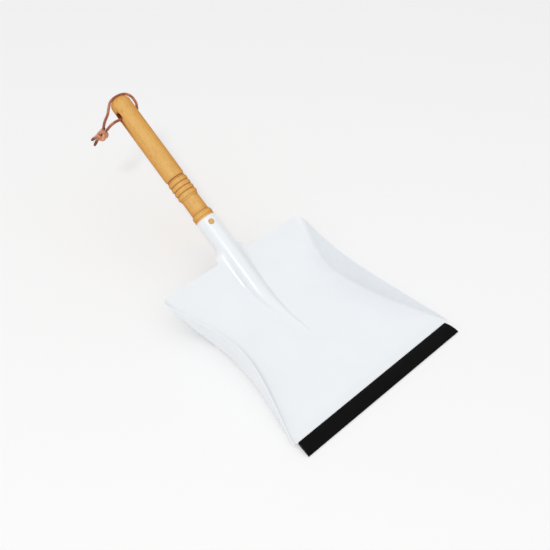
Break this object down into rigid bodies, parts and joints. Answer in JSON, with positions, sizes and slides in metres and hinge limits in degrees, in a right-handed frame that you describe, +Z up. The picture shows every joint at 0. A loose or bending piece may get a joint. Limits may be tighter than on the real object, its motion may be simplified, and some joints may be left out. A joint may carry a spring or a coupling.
{
  "type": "dustpan",
  "caption": "Dustpan pressed from white-coated sheet steel, with a turned wooden handle pegged into its socket, a black rubber lip and a leather hanging loop.",
  "frame": {"origin": "on the ground, under the middle of the flat of the pan's floor", "axes": "+Y from the lip to the handle, +Z up, +X to the right when looking along +Y"},
  "size_m": [0.2328, 0.4256, 0.1528],
  "materials": {
    "white_enamel": "glossy white powder coat",
    "handle_wood": "oiled, warm orange-brown, fine straight grain",
    "peg_wood": "plain end grain",
    "rubber": "matt black",
    "leather": "red-brown, waxed"
  },
  "bodies": {
    "root": {"pan": "white_enamel", "handle": "handle_wood", "peg": "peg_wood", "lip": "rubber"},
    "thong": {"thong": "leather", "thong_knot": "leather"}
  },
  "joints": [
    {"name": "thong_swing", "type": "hinge", "parent": "root", "child": "thong", "pos_m": [0, 0.3144, 0.1346], "axis": [1, 0, 0], "range_deg": [-120, 120]}
  ]
}
